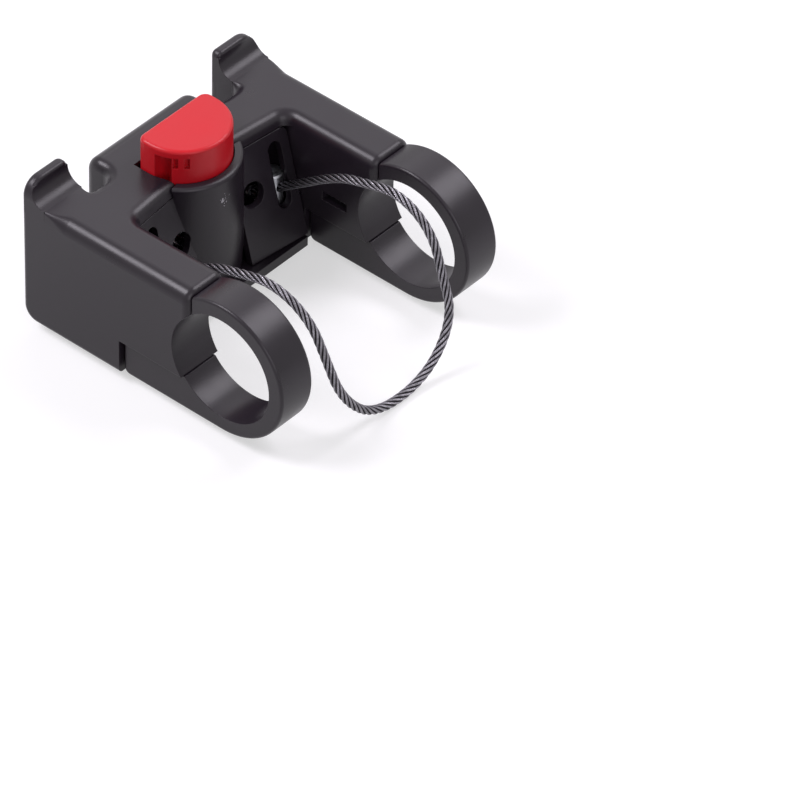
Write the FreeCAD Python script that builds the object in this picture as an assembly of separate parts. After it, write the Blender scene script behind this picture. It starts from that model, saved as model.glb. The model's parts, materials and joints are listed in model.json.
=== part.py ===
import FreeCAD, Part
import math
import os

# Bicycle handlebar bag mount.
# All lengths are in millimetres. Z points up and X runs along the clamp bores.
# The bag side is the front, at negative Y. The rider sits at positive Y.
# The origin lies on the axis of the clamp bores, midway between the two clamps.

V = FreeCAD.Vector
os.makedirs("parts", exist_ok=True)

# Clamp bores and their collars
BORE_R = 15.9
COLLAR_WALL = 4.45
COLLAR_STEP = 1.2
COLLAR_EDGE = 0.8
SEAM_Y = -10.4
SEAM_GAP = 0.3
SPLIT_Z = -9.5
SPLIT_GAP = 0.4
TONGUE_SIDE = 2.0
TONGUE_LONG = 3.2
TONGUE_LOW = 13.4
TONGUE_THICK = 2.0
TONGUE_LIP = 0.8
TONGUE_PLAY = 0.35

# Housing: outer sizes
HALF_WIDTH = 42.8
ARM_IN = 28.8
TOP = 18.8
BOTTOM = -(BORE_R + COLLAR_WALL)
FRONT = -67.5
SIDE_TOP_R = 3.75
INNER_TOP_R = 3.2
DECK_CORNER_R = 3.0
SIDE_LOW_R = 1.5
FRONT_LOW_R = 4.5
ARM_END_R = 2.0
WALL = 3.0
THIN_WALL = 2.6

# Horns, hook notches and the block between them
HORN_TOP = 25.1
LIP = 3.2
HORN_BACK_R = 4.8
HORN_OUT_R = 5.0
HORN_IN_R = 1.8
LIP_EDGE_R = 1.0
NOTCH_IN = 19.2
NOTCH_REAR = -57.0
NOTCH_FLOOR = -5.2
NOTCH_CORNER_R = 4.0
NOTCH_ARM_R = 2.5
NOTCH_EDGE_R = 2.8
BLOCK_TOP_R = 4.4

# Inner plate: a plane that leans back by TILT and is swept in plan by SWEEP
PLATE_Y = -41.8
SWEEP = 0.10
TILT = 0.26
PLATE_GAP = 0.35
PLATE_THICK = 2.0
PLATE_CORNER_R = 2.0
OPENING_LAND = 0.4
BOSS_R = 15.8
BOSS_TOP = 17.9
BOSS_EDGE_R = 1.2
FLOOR_REAR = -32.0
SLOT_X = 23.5
SLOT_WIDTH = 4.5
SLOT_LOW = -7.0
SLOT_HIGH = 12.3
HOLE_X = 13.9
HOLE_Z = 1.4
HOLE_R = 3.65

# Release button
BUTTON_Y = -50.8
BUTTON_R = 13.0
BUTTON_FLAT = 4.2
BUTTON_TOP = 28.0
BUTTON_LOW = 12.5
BUTTON_WALL = 2.0
BUTTON_ROOF = 2.4
BUTTON_EDGE_R = 1.0
BUTTON_CORNER_R = 2.5
BUTTON_GAP = 0.35
BUTTON_FRONT_GAP = 0.6
TRAVEL = 6.0
FLUTE_R = 2.2
FLUTE_X = 11.5
FLUTE_BACK = 4.2
VENT_TURNS = (43.0, 56.0)
VENT_WIDE = 1.3
VENT_DEEP = 1.2
VENT_TALL = 3.2
STEM_R = 5.5
STEM_BACK = 1.8
STEM_LOW = 2.0
SPIGOT_R = 2.6
SPIGOT_LONG = 4.0
NOSE_HALF = 5.5
NOSE_TOP = 8.65
NOSE_OUT = 2.2
NOSE_RAMP = 2.6
NOSE_GAP = 0.35

# Button spring
SPRING_R = 3.7
WIRE_R = 0.45
COILS = 6

# Clamp screws, washers and nuts
SCREW_Y = -24.0
SCREW_R = 2.5
SCREW_LONG = 16.0
SCREW_HEAD_R = 4.25
SCREW_HEAD = 5.0
HEX_ACROSS = 4.0
HEX_DEEP = 2.5
SEAT_Z = -13.6
WASHER_R = 5.0
WASHER_HOLE_R = 2.65
WASHER_THICK = 1.0
COUNTERBORE_R = 5.3
CLEAR_HOLE_R = 2.75
THREAD_PLAY = 0.02
NUT_SIDE = 8.0
NUT_THICK = 2.7
NUT_LOW = -3.35
NUT_PLAY = 0.15
TAB_FRONT = -33.5
TAB_GAP = 0.5
TAB_CORNER_R = 2.0

# Screws that hold the inner plate
PLATE_SCREW_X = 17.5
PLATE_SCREW_Y = -48.3
PLATE_SCREW_LONG = 10.0
PLATE_SEAT_Z = -16.5
PLATE_HEAD_R = 4.75
PLATE_HEAD = 2.75
PLATE_RECESS_R = 5.0
POST_R = 6.6
POST_TOP = -13.0
LUG_R = 4.2
LUG_THICK = 4.5

# Steel cable with its end fittings
CABLE_X = 24.1
CABLE_R = 1.25
CABLE_TURN_R = BORE_R + CABLE_R + 0.15
CABLE_RISE = 36.2
CABLE_ON = 16.6
CABLE_OFF = 67.0
CABLE_END_Y = -50.5
CABLE_KNEE_Y = -18.8
CABLE_KNEE_R = 25.0
FALL_X = 21.6
LOOP_HIGH = -9.9
LOOP_X = 9.94
LOOP_Y = 24.2
LOOP_LOW = -21.9
BARREL_Y = -41.4
BARREL_R = 3.0
BARREL_HALF = 6.0
BARREL_PLAY = 0.05
BARREL_ROOM = 0.4
GRUB_R = 2.0
GRUB_LONG = 3.0
GRUB_HEX = 2.0
GRUB_DEEP = 1.3
CAP_R = 1.9
CAP_LONG = 3.0
CAP_END = 0.6

# Sizes that follow from the ones above
COLLAR_IN = ARM_IN + COLLAR_STEP
COLLAR_OUT = HALF_WIDTH - COLLAR_STEP
TONGUE_IN = COLLAR_IN + TONGUE_SIDE
TONGUE_OUT = COLLAR_OUT - TONGUE_SIDE
SCREW_X = (COLLAR_IN + COLLAR_OUT) / 2
OPENING_TOP = TOP - INNER_TOP_R - OPENING_LAND
PLATE_TOP = OPENING_TOP - PLATE_GAP
BUTTON_FRONT = BUTTON_Y - BUTTON_FLAT
FLUTE_Y = BUTTON_Y + FLUTE_BACK
STEM_Y = BUTTON_Y + STEM_BACK


# Small helpers
def box(x0, x1, y0, y1, z0, z1):
    return Part.makeBox(x1 - x0, y1 - y0, z1 - z0, V(x0, y0, z0))


def rod(radius, x, y, z0, z1):
    return Part.makeCylinder(radius, z1 - z0, V(x, y, z0), V(0, 0, 1))


def along_x(radius, x0, x1):
    return Part.makeCylinder(radius, x1 - x0, V(x0, 0, 0), V(1, 0, 0))


def along_y(radius, x, z, y0, y1):
    return Part.makeCylinder(radius, y1 - y0, V(x, y0, z), V(0, 1, 0))


def other_side(shape):
    return shape.mirror(V(0, 0, 0), V(1, 0, 0))


def both_sides(shape):
    return shape.fuse(other_side(shape))


def prism_x(points, x0, x1):
    corners = [V(x0, y, z) for y, z in points]
    outline = Part.makePolygon(corners + [corners[0]])
    return Part.Face(outline).extrude(V(x1 - x0, 0, 0))


def hexagon(across, x, y, z0, z1):
    reach = across / math.sqrt(3)
    turns = [math.radians(60 * i) for i in range(6)]
    corners = [V(x + reach * math.cos(t), y + reach * math.sin(t), z0) for t in turns]
    outline = Part.makePolygon(corners + [corners[0]])
    return Part.Face(outline).extrude(V(0, 0, z1 - z0))


def near(a, b):
    return abs(a - b) < 0.01


def rounded(shape, radius, wanted):
    edges = [e for e in shape.Edges if wanted(e.BoundBox)]
    return shape.makeFillet(radius, edges)


# The tilted plane of the inner plate
def plate_y(x, z):
    return PLATE_Y - SWEEP * (ARM_IN - abs(x)) + TILT * (TOP - z)


def slab(x0, x1, front, rear, z0, z1):
    corners = {}
    for i, x in enumerate((x0, x1)):
        for k, z in enumerate((z0, z1)):
            corners[i, 0, k] = V(x, plate_y(x, z) + front, z)
            corners[i, 1, k] = V(x, plate_y(x, z) + rear, z)
    rings = [
        [(0, 0, 0), (0, 1, 0), (0, 1, 1), (0, 0, 1)],
        [(1, 0, 0), (1, 1, 0), (1, 1, 1), (1, 0, 1)],
        [(0, 0, 0), (1, 0, 0), (1, 0, 1), (0, 0, 1)],
        [(0, 1, 0), (1, 1, 0), (1, 1, 1), (0, 1, 1)],
        [(0, 0, 0), (1, 0, 0), (1, 1, 0), (0, 1, 0)],
        [(0, 0, 1), (1, 0, 1), (1, 1, 1), (0, 1, 1)],
    ]
    faces = []
    for ring in rings:
        points = [corners[key] for key in ring]
        faces.append(Part.Face(Part.makePolygon(points + [points[0]])))
    return Part.makeSolid(Part.makeShell(faces))


# The D outline of the button, grown or shrunk by an offset
def d_outline(offset, front, corner, z0, z1):
    radius = BUTTON_R + offset
    body = rod(radius, 0, BUTTON_Y, z0, z1)
    side = box(-radius, radius, front, BUTTON_Y, z0, z1)
    body = body.common(box(-radius, radius, BUTTON_Y, BUTTON_Y + radius, z0, z1))
    if corner > 0:
        side = rounded(side, corner, lambda b: near(b.YMax, front) and near(b.XLength, 0) and b.ZLength > 1)
    return body.fuse(side).removeSplitter()


# Housing
def housing_block():
    shape = box(-HALF_WIDTH, HALF_WIDTH, FRONT, SEAM_Y, BOTTOM, TOP)
    low = lambda b: near(b.ZMax, BOTTOM)
    shape = rounded(shape, FRONT_LOW_R, lambda b: low(b) and near(b.YMax, FRONT) and b.XLength > 30)
    shape = rounded(shape, SIDE_TOP_R, lambda b: near(b.ZMin, TOP) and b.YLength > 30)
    shape = rounded(shape, SIDE_LOW_R, lambda b: low(b) and b.YLength > 30)
    return shape


def rear_gap():
    upper = slab(0, ARM_IN, 0, 20, BOTTOM + WALL, TOP + 9)
    corner = lambda b: near(b.XMin, ARM_IN) and near(b.XLength, 0) and b.ZLength > 5 and b.YMin < PLATE_Y
    upper = rounded(upper, DECK_CORNER_R, corner)
    pocket = slab(0, ARM_IN, -PLATE_THICK - PLATE_GAP, 20, BOTTOM + WALL, OPENING_TOP)
    side = upper.fuse(pocket)
    behind = box(-ARM_IN, ARM_IN, FLOOR_REAR, 0, BOTTOM - 1, TOP + 9)
    return behind.fuse([side, other_side(side)])


def horn():
    back = FRONT + LIP
    shape = box(ARM_IN, HALF_WIDTH, FRONT, back, NOTCH_FLOOR, HORN_TOP)
    top = lambda b: near(b.ZMin, HORN_TOP)
    shape = rounded(shape, HORN_OUT_R, lambda b: top(b) and near(b.XMin, HALF_WIDTH) and b.YLength > 1)
    shape = rounded(shape, HORN_IN_R, lambda b: top(b) and near(b.XMax, ARM_IN) and b.YLength > 1)
    shape = rounded(shape, SIDE_LOW_R, lambda b: top(b) and near(b.YMax, FRONT) and b.XLength > 1)
    return rounded(shape, LIP_EDGE_R, lambda b: top(b) and near(b.YMin, back) and b.XLength > 1)


def horn_foot():
    rear = FRONT + LIP + HORN_BACK_R
    high = TOP + HORN_BACK_R
    shape = box(ARM_IN, HALF_WIDTH, FRONT + LIP_EDGE_R, rear, TOP - SIDE_TOP_R, HORN_TOP)
    top = lambda b: near(b.ZMin, HORN_TOP) and b.YLength > 1
    shape = rounded(shape, HORN_OUT_R, lambda b: top(b) and near(b.XMin, HALF_WIDTH))
    shape = rounded(shape, HORN_IN_R, lambda b: top(b) and near(b.XMax, ARM_IN))
    scoop = Part.makeCylinder(HORN_BACK_R, HALF_WIDTH, V(ARM_IN - 1, rear, high), V(1, 0, 0))
    above = box(ARM_IN - 1, HALF_WIDTH + 1, FRONT, rear + 1, high, HORN_TOP + 1)
    return shape.cut([scoop, above])


def notch():
    shape = box(NOTCH_IN, ARM_IN, FRONT - 1, NOTCH_REAR, NOTCH_FLOOR, TOP + 1)
    corner = lambda b: near(b.YMin, NOTCH_REAR) and b.ZLength > 5
    shape = rounded(shape, NOTCH_CORNER_R, lambda b: corner(b) and near(b.XMax, NOTCH_IN))
    shape = rounded(shape, NOTCH_ARM_R, lambda b: corner(b) and near(b.XMin, ARM_IN))
    return shape


def front_corner():
    half = (NOTCH_IN + ARM_IN) / 2
    rear = FRONT + BLOCK_TOP_R
    low = TOP - BLOCK_TOP_R
    bar = Part.makeCylinder(BLOCK_TOP_R, 2 * half, V(-half, rear, low), V(1, 0, 0))
    return box(-half, half, FRONT - 1, rear, low, TOP + 1).cut(bar)


def housing_hollow():
    floor = BOTTOM + WALL
    inner = CABLE_X + BARREL_R + BARREL_ROOM
    side = NOTCH_IN - THIN_WALL
    behind_notch = NOTCH_REAR + THIN_WALL
    main = box(-inner, inner, behind_notch, FLOOR_REAR, floor, OPENING_TOP)
    nose = box(-side, side, FRONT + THIN_WALL, behind_notch + 1, floor, OPENING_TOP)
    low = box(-inner, inner, FRONT + WALL, behind_notch + 1, floor, NOTCH_FLOOR - THIN_WALL)
    return main.fuse([nose, low])


def arm_hollows():
    inner = ARM_IN + THIN_WALL
    outer = HALF_WIDTH - THIN_WALL
    roof = TOP - WALL
    rear = box(inner, outer, NOTCH_REAR + THIN_WALL, PLATE_Y - THIN_WALL, BOTTOM - 1, roof)
    fore = box(inner, outer, FRONT + THIN_WALL, NOTCH_REAR, BOTTOM - 1, roof)
    return rear.fuse(fore)


def tongue_shape(play):
    y0 = SEAM_Y - TONGUE_LONG - play
    y1 = SEAM_Y + SEAM_GAP + 1.5
    x0 = TONGUE_IN - play
    x1 = TONGUE_OUT + play
    low = TONGUE_LOW - play
    high = TONGUE_LOW + TONGUE_THICK + play
    lip_rear = SEAM_Y - TONGUE_LONG + 1.2 + play
    blade = box(x0, x1, y0, y1, low, high)
    lip = box(x0, x1, y0, lip_rear, low - TONGUE_LIP, low)
    return blade.fuse(lip)


def arm_cuts():
    under = box(ARM_IN - 1, HALF_WIDTH + 1, TAB_FRONT - TAB_GAP, 0, BOTTOM - 1, SPLIT_Z)
    half = NUT_SIDE / 2 + NUT_PLAY
    high = NUT_LOW + NUT_THICK + NUT_PLAY
    pocket = box(ARM_IN - 1, SCREW_X + half, SCREW_Y - half, SCREW_Y + half, NUT_LOW, high)
    hole = rod(CLEAR_HOLE_R, SCREW_X, SCREW_Y, BOTTOM, screw_tip() + 1)
    return [under, pocket, hole, tongue_shape(TONGUE_PLAY)]


def housing_posts():
    post = rod(POST_R, PLATE_SCREW_X, PLATE_SCREW_Y, BOTTOM, POST_TOP)
    spigot = rod(SPIGOT_R, 0, STEM_Y, BOTTOM + WALL - 1, BOTTOM + WALL + 5)
    return [post, other_side(post), spigot]


def post_hole():
    recess = rod(PLATE_RECESS_R, PLATE_SCREW_X, PLATE_SCREW_Y, BOTTOM - 1, PLATE_SEAT_Z)
    hole = rod(CLEAR_HOLE_R, PLATE_SCREW_X, PLATE_SCREW_Y, PLATE_SEAT_Z - 1, POST_TOP + 1)
    return recess.fuse(hole)


def nose_window():
    half = NOSE_HALF + NOSE_GAP
    low = STEM_LOW - TRAVEL - NOSE_GAP
    return box(-half, half, FRONT - 1, NOTCH_REAR, low, NOSE_TOP + NOSE_GAP)


def rounded_body():
    shape = housing_block()
    shape = shape.cut(rear_gap())
    button_hole = d_outline(BUTTON_GAP, BUTTON_FRONT - BUTTON_FRONT_GAP, 0, OPENING_TOP - 1, TOP + 1)
    shape = shape.cut(button_hole)
    top = lambda b: near(b.ZMin, TOP)
    along_arm = lambda b: near(abs(b.XMin), ARM_IN) and near(b.XLength, 0) and b.YLength > 9
    shape = rounded(shape, INNER_TOP_R, lambda b: top(b) and along_arm(b))
    shape = rounded(shape, ARM_END_R, lambda b: top(b) and near(b.YMin, SEAM_Y) and b.XLength > 3)
    shape = shape.cut(both_sides(notch()))
    shape = shape.cut(front_corner())
    behind = lambda b: near(b.YMin, NOTCH_REAR) and near(b.YLength, 0)
    return rounded(shape, NOTCH_EDGE_R, lambda b: top(b) and behind(b) and b.XLength > 1)


def make_housing():
    shape = rounded_body()
    ear = horn().fuse(horn_foot())
    shape = shape.fuse([ear, other_side(ear)]).removeSplitter()
    shape = shape.cut(housing_hollow())
    shape = shape.cut(both_sides(arm_hollows()))
    shape = shape.fuse(housing_posts())
    shape = shape.cut(both_sides(post_hole()))
    shape = shape.cut(nose_window())
    shape = shape.cut(along_x(BORE_R, -HALF_WIDTH - 1, HALF_WIDTH + 1))
    for cutter in arm_cuts():
        shape = shape.cut([cutter, other_side(cutter)])
    return shape.removeSplitter()


# Inner plate with the half-round boss behind the button
def make_inner_plate():
    low = BOTTOM + WALL + PLATE_GAP
    wing = slab(9, ARM_IN - PLATE_GAP, -PLATE_THICK, 0, low, PLATE_TOP)
    corner = lambda b: near(b.ZMin, PLATE_TOP) and near(b.XMin, ARM_IN - PLATE_GAP) and b.YLength > 1
    wing = rounded(wing, PLATE_CORNER_R, corner)
    boss = rod(BOSS_R, 0, BUTTON_Y, low, BOSS_TOP)
    boss = rounded(boss, BOSS_EDGE_R, lambda b: near(b.ZMin, BOSS_TOP) and b.XLength > 5)
    region = slab(0, BOSS_R + 2, PLATE_GAP, 24, low - 1, BOSS_TOP + 1)
    region = region.fuse(slab(0, BOSS_R + 2, -PLATE_THICK, 24, low - 1, PLATE_TOP))
    boss = boss.common(both_sides(region))
    shape = boss.fuse([wing, other_side(wing)])
    bore_r = BUTTON_R + BUTTON_GAP
    shape = shape.cut(rod(bore_r, 0, BUTTON_Y, low - 1, BOSS_TOP + 1))
    high = POST_TOP + LUG_THICK
    lug = rod(LUG_R, PLATE_SCREW_X, PLATE_SCREW_Y, POST_TOP, high)
    x0 = PLATE_SCREW_X - LUG_R
    x1 = PLATE_SCREW_X + LUG_R
    lug = lug.fuse(box(x0, x1, PLATE_SCREW_Y, FLOOR_REAR, POST_TOP, high))
    lug = lug.common(slab(0, ARM_IN, -20, -PLATE_THICK / 2, POST_TOP, high))
    shape = shape.fuse([lug, other_side(lug)])
    hole = rod(SCREW_R + THREAD_PLAY, PLATE_SCREW_X, PLATE_SCREW_Y, POST_TOP - 1, 0)
    half = SLOT_WIDTH / 2
    y0 = BUTTON_Y
    y1 = FLOOR_REAR + 4
    slot = box(SLOT_X - half, SLOT_X + half, y0, y1, SLOT_LOW + half, SLOT_HIGH - half)
    slot = slot.fuse(along_y(half, SLOT_X, SLOT_LOW + half, y0, y1))
    slot = slot.fuse(along_y(half, SLOT_X, SLOT_HIGH - half, y0, y1))
    window = along_y(HOLE_R, HOLE_X, HOLE_Z, y0 + 4, y1)
    seat_low = cable_z(BARREL_Y) - BARREL_HALF - PLATE_GAP
    seat_high = cable_z(BARREL_Y) + BARREL_HALF + PLATE_GAP
    seat = rod(BARREL_R + BARREL_PLAY, CABLE_X, BARREL_Y, seat_low, seat_high)
    for cutter in (hole, slot, window, seat):
        shape = shape.cut([cutter, other_side(cutter)])
    return shape.removeSplitter()


# Release button with its latch nose
def make_release_button():
    cap = d_outline(0, BUTTON_FRONT, BUTTON_CORNER_R, BUTTON_LOW, BUTTON_TOP)
    cap = rounded(cap, BUTTON_EDGE_R, lambda b: near(b.ZMin, BUTTON_TOP))
    roof = BUTTON_TOP - BUTTON_ROOF
    flute = rod(FLUTE_R, FLUTE_X, FLUTE_Y, BUTTON_LOW - 1, roof)
    mouth = box(FLUTE_X, FLUTE_X + 5, FLUTE_Y - FLUTE_R, FLUTE_Y + FLUTE_R, BUTTON_LOW - 1, roof)
    flute = flute.fuse(mouth)
    hollow = d_outline(-BUTTON_WALL, BUTTON_FRONT + BUTTON_WALL, 0.8, BUTTON_LOW - 1, roof)
    lining = FLUTE_R + BUTTON_WALL - 0.4
    guard = rod(lining, FLUTE_X, FLUTE_Y, BUTTON_LOW - 1, roof)
    hollow = hollow.cut([guard, other_side(guard)])
    shape = cap.cut([hollow, flute, other_side(flute)])
    for turn in VENT_TURNS:
        rear = BUTTON_Y + BUTTON_R
        vent = box(-VENT_WIDE / 2, VENT_WIDE / 2, rear - VENT_DEEP, rear + 1, roof - VENT_TALL, roof)
        vent.rotate(V(0, BUTTON_Y, 0), V(0, 0, 1), -turn)
        shape = shape.cut([vent, other_side(vent)])
    stem = rod(STEM_R, 0, STEM_Y, STEM_LOW, roof + 0.5)
    spigot = rod(SPIGOT_R, 0, STEM_Y, STEM_LOW - SPIGOT_LONG, STEM_LOW + 0.5)
    tip = FRONT - NOSE_OUT
    points = [(STEM_Y, STEM_LOW), (tip, STEM_LOW), (tip, NOSE_TOP - NOSE_RAMP)]
    points += [(tip + NOSE_RAMP, NOSE_TOP), (STEM_Y, NOSE_TOP)]
    nose = prism_x(points, -NOSE_HALF, NOSE_HALF)
    return shape.fuse([stem, spigot, nose]).removeSplitter()


# Helical spring between the housing floor and the button stem
def make_button_spring():
    low = BOTTOM + WALL + WIRE_R
    high = STEM_LOW - WIRE_R
    pitch = (high - low) / COILS
    path = Part.makeHelix(pitch, high - low, SPRING_R)
    start = V(SPRING_R, 0, 0)
    ring = Part.Wire(Part.makeCircle(WIRE_R, start, V(0, 1, pitch / (2 * math.pi * SPRING_R))))
    coil = Part.Wire(path).makePipeShell([ring], True, True)
    coil.translate(V(0, STEM_Y, low))
    return coil


# Clamp collar: a springy strap hooked into the arm at the top, with a tab below
def on_circle(radius, y):
    return math.sqrt(radius ** 2 - y ** 2)


def collar_outline():
    outer = BORE_R + COLLAR_WALL
    seam = SEAM_Y + SEAM_GAP
    top = SPLIT_Z - SPLIT_GAP
    corners = [(seam, on_circle(outer, seam)), (0, -outer), (TAB_FRONT, -outer), (TAB_FRONT, top)]
    corners += [(-on_circle(BORE_R, top), top), (seam, on_circle(BORE_R, seam))]
    a, b, c, d, e, f = [V(COLLAR_IN, y, z) for y, z in corners]
    edges = [Part.Arc(a, V(COLLAR_IN, outer, 0), b), Part.LineSegment(b, c), Part.LineSegment(c, d)]
    edges += [Part.LineSegment(d, e), Part.Arc(e, V(COLLAR_IN, BORE_R, 0), f), Part.LineSegment(f, a)]
    return Part.Wire([edge.toShape() for edge in edges])


def make_clamp_collar():
    outer = BORE_R + COLLAR_WALL
    shape = Part.Face(collar_outline()).extrude(V(COLLAR_OUT - COLLAR_IN, 0, 0))
    corner = lambda b: near(b.YMin, TAB_FRONT) and near(b.YMax, TAB_FRONT) and near(b.ZMax, -outer)
    shape = rounded(shape, TAB_CORNER_R, lambda b: corner(b) and b.XLength > 1)
    shape = rounded(shape, COLLAR_EDGE, lambda b: near(b.XLength, 0) and b.YMax > outer - 0.1)
    shape = shape.fuse(tongue_shape(0))
    hole = rod(CLEAR_HOLE_R, SCREW_X, SCREW_Y, BOTTOM - 1, SPLIT_Z)
    recess = rod(COUNTERBORE_R, SCREW_X, SCREW_Y, BOTTOM - 1, SEAT_Z)
    return shape.cut([hole, recess]).removeSplitter()


# Screws, washers and nuts
def screw_tip():
    return SEAT_Z - WASHER_THICK + SCREW_LONG


def make_clamp_screw():
    under_head = SEAT_Z - WASHER_THICK
    head_low = under_head - SCREW_HEAD
    head = rod(SCREW_HEAD_R, SCREW_X, SCREW_Y, head_low, under_head)
    head = rounded(head, 0.4, lambda b: near(b.ZMax, head_low) and b.XLength > 1)
    shank = rod(SCREW_R, SCREW_X, SCREW_Y, under_head, screw_tip())
    shank = shank.makeChamfer(0.4, [e for e in shank.Edges if near(e.BoundBox.ZMin, screw_tip())])
    socket = hexagon(HEX_ACROSS, SCREW_X, SCREW_Y, head_low - 1, head_low + HEX_DEEP)
    return head.fuse(shank).cut(socket).removeSplitter()


def make_clamp_washer():
    shape = rod(WASHER_R, SCREW_X, SCREW_Y, SEAT_Z - WASHER_THICK, SEAT_Z)
    return shape.cut(rod(WASHER_HOLE_R, SCREW_X, SCREW_Y, SEAT_Z - 3, SEAT_Z + 1))


def make_clamp_nut():
    half = NUT_SIDE / 2
    high = NUT_LOW + NUT_THICK
    shape = box(SCREW_X - half, SCREW_X + half, SCREW_Y - half, SCREW_Y + half, NUT_LOW, high)
    shape = rounded(shape, 0.4, lambda b: b.ZLength > 1)
    return shape.cut(rod(SCREW_R + THREAD_PLAY, SCREW_X, SCREW_Y, NUT_LOW - 1, high + 1))


def make_plate_screw():
    head_low = PLATE_SEAT_Z - PLATE_HEAD
    head = rod(PLATE_HEAD_R, PLATE_SCREW_X, PLATE_SCREW_Y, head_low, PLATE_SEAT_Z)
    head = rounded(head, 1.8, lambda b: near(b.ZMax, head_low) and b.XLength > 1)
    tip = PLATE_SEAT_Z + PLATE_SCREW_LONG
    shank = rod(SCREW_R, PLATE_SCREW_X, PLATE_SCREW_Y, PLATE_SEAT_Z, tip)
    shank = shank.makeChamfer(0.4, [e for e in shank.Edges if near(e.BoundBox.ZMin, tip)])
    socket = hexagon(HEX_ACROSS - 1, PLATE_SCREW_X, PLATE_SCREW_Y, head_low - 1, head_low + 1.7)
    return head.fuse(shank).cut(socket).removeSplitter()


# Steel cable: straight runs joined by tangent arcs, one loop that starts and ends in the slots
def cable_on_point():
    turn = math.radians(CABLE_ON)
    return (-CABLE_TURN_R * math.sin(turn), CABLE_TURN_R * math.cos(turn))


def cable_z(y):
    on_y, on_z = cable_on_point()
    knee_z = on_z + (CABLE_KNEE_Y - on_y) * math.tan(math.radians(CABLE_ON))
    return knee_z + (y - CABLE_KNEE_Y) * math.tan(math.radians(CABLE_RISE))


def cable_corners():
    on_y, on_z = cable_on_point()
    rise = math.radians(CABLE_ON)
    fall = math.radians(CABLE_OFF)
    reach = CABLE_TURN_R * math.tan((rise + fall) / 2)
    top = V(CABLE_X, on_y + reach * math.cos(rise), on_z + reach * math.sin(rise))
    run = (top.z - LOOP_HIGH) / math.sin(fall)
    low = V(FALL_X, top.y + run * math.cos(fall), LOOP_HIGH)
    start = V(CABLE_X, CABLE_END_Y, cable_z(CABLE_END_Y))
    knee = V(CABLE_X, CABLE_KNEE_Y, cable_z(CABLE_KNEE_Y))
    half = [start, knee, top, low, V(LOOP_X, LOOP_Y, LOOP_LOW)]
    return half + [V(-p.x, p.y, p.z) for p in reversed(half)]


def cable_path(points, fixed):
    edges = []
    radii = []
    last = points[0]
    for i in range(1, len(points) - 1):
        before = points[i] - points[i - 1]
        after = points[i + 1] - points[i]
        turn = before.getAngle(after)
        radius = fixed.get(i, 0.45 * min(before.Length, after.Length) / math.tan(turn / 2))
        reach = radius * math.tan(turn / 2)
        first = points[i] - before * (reach / before.Length)
        second = points[i] + after * (reach / after.Length)
        inward = (first + second) * 0.5 - points[i]
        middle = points[i] + inward * ((radius / math.cos(turn / 2) - radius) / inward.Length)
        edges.append(Part.LineSegment(last, first).toShape())
        edges.append(Part.Arc(first, middle, second).toShape())
        radii.append(round(radius, 2))
        last = second
    edges.append(Part.LineSegment(last, points[-1]).toShape())
    return Part.Wire(edges), radii


def make_steel_cable():
    points = cable_corners()
    bends = {1: CABLE_KNEE_R, 2: CABLE_TURN_R, 7: CABLE_TURN_R, 8: CABLE_KNEE_R}
    path, radii = cable_path(points, bends)
    direction = points[1] - points[0]
    ring = Part.Wire(Part.makeCircle(CABLE_R, points[0], direction))
    shape = path.makePipeShell([ring], True, False)
    print("cable radii", radii, "length", round(path.Length, 1))
    swept = math.pi * CABLE_R ** 2 * path.Length
    print("cable volume", round(shape.Volume, 1), "section x length", round(swept, 1))
    return shape


def cable_rod(radius, y0, y1):
    start = V(CABLE_X, y0, cable_z(y0))
    end = V(CABLE_X, y1, cable_z(y1))
    return Part.makeCylinder(radius, (end - start).Length, start, end - start)


def make_cable_barrel():
    middle = cable_z(BARREL_Y)
    shape = rod(BARREL_R, CABLE_X, BARREL_Y, middle - BARREL_HALF, middle + BARREL_HALF)
    shape = shape.makeChamfer(0.4, [e for e in shape.Edges if e.BoundBox.ZLength < 0.01])
    cross = cable_rod(CABLE_R + 0.05, BARREL_Y - 9, BARREL_Y + 9)
    thread = rod(GRUB_R + THREAD_PLAY, CABLE_X, BARREL_Y, middle, middle + BARREL_HALF + 1)
    return shape.cut([cross, thread])


def make_cable_grub():
    slope = math.radians(CABLE_RISE)
    low = cable_z(BARREL_Y) + CABLE_R / math.cos(slope) + GRUB_R * math.tan(slope) + 0.06
    shape = rod(GRUB_R, CABLE_X, BARREL_Y, low, low + GRUB_LONG)
    socket = hexagon(GRUB_HEX, CABLE_X, BARREL_Y, low + GRUB_LONG - GRUB_DEEP, low + GRUB_LONG + 1)
    return shape.cut(socket)


def make_cable_cap():
    shape = cable_rod(CAP_R, CABLE_END_Y - CAP_END, CABLE_END_Y + CAP_LONG)
    return shape.cut(cable_rod(CABLE_R + THREAD_PLAY, CABLE_END_Y, CABLE_END_Y + CAP_LONG + 1))


# Write one file for each piece; left is the rider's left
SINGLE = {
    "housing": make_housing,
    "inner_plate": make_inner_plate,
    "release_button": make_release_button,
    "button_spring": make_button_spring,
    "steel_cable": make_steel_cable,
}
PAIRS = {
    "clamp_collar": make_clamp_collar,
    "clamp_screw": make_clamp_screw,
    "clamp_washer": make_clamp_washer,
    "clamp_nut": make_clamp_nut,
    "plate_screw": make_plate_screw,
    "cable_barrel": make_cable_barrel,
    "cable_set_screw": make_cable_grub,
    "cable_end_cap": make_cable_cap,
}


def write(name, shape):
    if len(shape.Solids) == 1:
        shape = shape.Solids[0]
    print(name, len(shape.Solids), "valid" if shape.isValid() else "NOT VALID", round(shape.Volume, 1))
    shape.exportStep("parts/" + name + ".step")


for name, make in SINGLE.items():
    write(name, make())
for name, make in PAIRS.items():
    left = make()
    write(name + "_left", left)
    write(name + "_right", other_side(left))
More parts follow.
